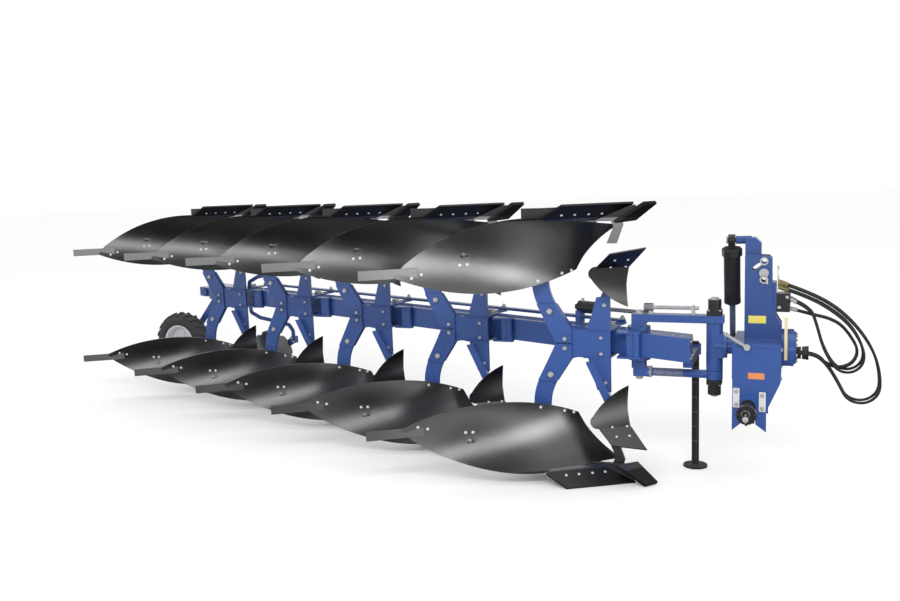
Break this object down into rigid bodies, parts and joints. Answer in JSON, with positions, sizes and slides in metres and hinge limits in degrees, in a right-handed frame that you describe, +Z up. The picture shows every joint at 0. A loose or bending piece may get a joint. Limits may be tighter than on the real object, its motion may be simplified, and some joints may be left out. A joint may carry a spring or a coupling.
{
  "type": "five-furrow mounted reversible plough",
  "caption": "Mounted reversible mouldboard plough with five pairs of bodies, skimmers, turnover headstock, swinging depth wheel and parking stand.",
  "frame": {"origin": "centre of the bounding box at floor level, hoses left out", "axes": "+X is the direction of travel, +Y to the left of travel, +Z up; the row of bodies runs back and to the left"},
  "size_m": [7.0108, 3.0882, 1.8],
  "materials": {
    "blue_paint": "gloss",
    "black_paint": "satin",
    "body_steel": "semi-gloss",
    "bright_steel": "satin",
    "chromed_rod": "polished",
    "brass": "satin",
    "zinc_plate": "satin",
    "tyre": "matte",
    "grey_rim": "satin",
    "hose_rubber": "satin"
  },
  "bodies": {
    "headstock": {"headstock_box": "blue_paint", "headstock_mast": "blue_paint", "lower_link_shaft": "black_paint", "shaft_clamps": "zinc_plate", "top_link_pin": "bright_steel", "turnover_lever": "bright_steel", "turnover_housing": "blue_paint", "hose_guide": "black_paint", "valve_block": "black_paint", "valve_fittings": "bright_steel", "hose_couplings": "brass", "coupling_bracket": "zinc_plate", "hose_outer_left": "hose_rubber", "hose_outer_right": "hose_rubber", "hose_middle_left": "hose_rubber", "hose_middle_right": "hose_rubber", "hose_inner_left": "hose_rubber", "hose_inner_right": "hose_rubber"},
    "turning_head": {"turning_head": "blue_paint", "head_pivot_caps": "black_paint"},
    "link_arms": {"front_pivot": "blue_paint", "link_arms": "blue_paint", "width_scale": "bright_steel"},
    "beam": {"main_beam": "blue_paint", "width_cylinder_barrel": "black_paint"},
    "width_rod": {"width_cylinder_rod": "chromed_rod"},
    "tie_rod": {"tie_rod": "blue_paint"},
    "turnover_barrel": {"turnover_cylinder_barrel": "black_paint"},
    "turnover_rod": {"turnover_cylinder_rod": "chromed_rod"},
    "wheel_arm": {"wheel_arm": "blue_paint"},
    "wheel": {"wheel_tyre": "tyre", "wheel_rim": "grey_rim"},
    "stand": {"parking_stand": "black_paint"},
    "coulter_lower": {"coulter_disc_lower": "body_steel"},
    "coulter_upper": {"coulter_disc_upper": "body_steel"},
    "furrow_1": {"carrier_1": "blue_paint", "legs_1": "blue_paint", "skimmers_1": "black_paint", "lower_bottom_1": "body_steel", "upper_bottom_1": "body_steel"},
    "furrow_2": {"carrier_2": "blue_paint", "legs_2": "blue_paint", "skimmers_2": "black_paint", "lower_bottom_2": "body_steel", "upper_bottom_2": "body_steel"},
    "furrow_3": {"carrier_3": "blue_paint", "legs_3": "blue_paint", "skimmers_3": "black_paint", "lower_bottom_3": "body_steel", "upper_bottom_3": "body_steel"},
    "furrow_4": {"carrier_4": "blue_paint", "legs_4": "blue_paint", "skimmers_4": "black_paint", "lower_bottom_4": "body_steel", "upper_bottom_4": "body_steel"},
    "furrow_5": {"carrier_5": "blue_paint", "legs_5": "blue_paint", "skimmers_5": "black_paint", "lower_bottom_5": "body_steel", "upper_bottom_5": "body_steel"}
  },
  "joints": [
    {"name": "turnover", "type": "hinge", "parent": "headstock", "child": "turning_head", "pos_m": [2.768, -0.74, 0.9], "axis": [1, 0, 0], "range_deg": [0, 180]},
    {"name": "front_furrow_swing", "type": "hinge", "parent": "turning_head", "child": "link_arms", "pos_m": [2.768, -0.74, 0.9], "axis": [0, 0, 1], "range_deg": [-6, 6]},
    {"name": "working_width", "type": "hinge", "parent": "link_arms", "child": "beam", "pos_m": [2.305, -0.74, 0.9], "axis": [0, 0, 1], "range_deg": [-4.5, 4.5]},
    {"name": "furrow_1_pivot", "type": "hinge", "parent": "beam", "child": "furrow_1", "pos_m": [2.1, -0.65394, 0.9], "axis": [0, 0, 1], "range_deg": [-4.6, 4.6]},
    {"name": "furrow_2_pivot", "type": "hinge", "parent": "beam", "child": "furrow_2", "pos_m": [1.14, -0.25094, 0.9], "axis": [0, 0, 1], "range_deg": [-4.6, 4.6]},
    {"name": "furrow_3_pivot", "type": "hinge", "parent": "beam", "child": "furrow_3", "pos_m": [0.18, 0.15206, 0.9], "axis": [0, 0, 1], "range_deg": [-4.6, 4.6]},
    {"name": "furrow_4_pivot", "type": "hinge", "parent": "beam", "child": "furrow_4", "pos_m": [-0.78, 0.55506, 0.9], "axis": [0, 0, 1], "range_deg": [-4.6, 4.6]},
    {"name": "furrow_5_pivot", "type": "hinge", "parent": "beam", "child": "furrow_5", "pos_m": [-1.74, 0.95806, 0.9], "axis": [0, 0, 1], "range_deg": [-4.6, 4.6]},
    {"name": "tie_rod_pivot", "type": "hinge", "parent": "furrow_1", "child": "tie_rod", "pos_m": [2.15806, -0.51563, 0.9], "axis": [0, 0, 1], "range_deg": [-4.6, 4.6]},
    {"name": "width_rod_slide", "type": "slide", "parent": "beam", "child": "width_rod", "axis": [0.9221, -0.3871, 0], "range_m": [-0.0073, 0.0073]},
    {"name": "turnover_cylinder_swing", "type": "hinge", "parent": "headstock", "child": "turnover_barrel", "pos_m": [2.865, -0.74, 1.55], "axis": [-1, 0, 0], "range_deg": [0, 14.66]},
    {"name": "turnover_rod_slide", "type": "slide", "parent": "turnover_barrel", "child": "turnover_rod", "axis": [0, -0.253, 0.9675], "range_m": [0, 0.19236]},
    {"name": "wheel_swing", "type": "hinge", "parent": "beam", "child": "wheel_arm", "pos_m": [-2.52, 1.516, 0.888], "axis": [0, 1, 0], "range_deg": [0, 101]},
    {"name": "wheel_spin", "type": "hinge", "parent": "wheel_arm", "child": "wheel", "pos_m": [-2.99, 1.41, 0.318], "axis": [0, 1, 0], "continuous": true},
    {"name": "stand_slide", "type": "slide", "parent": "beam", "child": "stand", "axis": [0, 0, 1], "range_m": [0, 0.45]},
    {"name": "coulter_lower_spin", "type": "hinge", "parent": "furrow_5", "child": "coulter_lower", "pos_m": [-1.506, 0.852, 0.339], "axis": [0, 1, 0], "continuous": true},
    {"name": "coulter_upper_spin", "type": "hinge", "parent": "furrow_5", "child": "coulter_upper", "pos_m": [-1.506, 0.852, 1.461], "axis": [0, 1, 0], "continuous": true}
  ],
  "couplings": [
    {"joint": "furrow_1_pivot", "follows": "working_width", "ratio": -1},
    {"joint": "furrow_2_pivot", "follows": "working_width", "ratio": -1},
    {"joint": "furrow_3_pivot", "follows": "working_width", "ratio": -1},
    {"joint": "furrow_4_pivot", "follows": "working_width", "ratio": -1},
    {"joint": "furrow_5_pivot", "follows": "working_width", "ratio": -1},
    {"joint": "tie_rod_pivot", "follows": "working_width", "ratio": 1},
    {"joint": "width_rod_slide", "follows": "working_width", "m_per_rad": 0.09},
    {"joint": "turnover_rod_slide", "follows": "turnover_cylinder_swing", "m_per_rad": 0.75003}
  ]
}
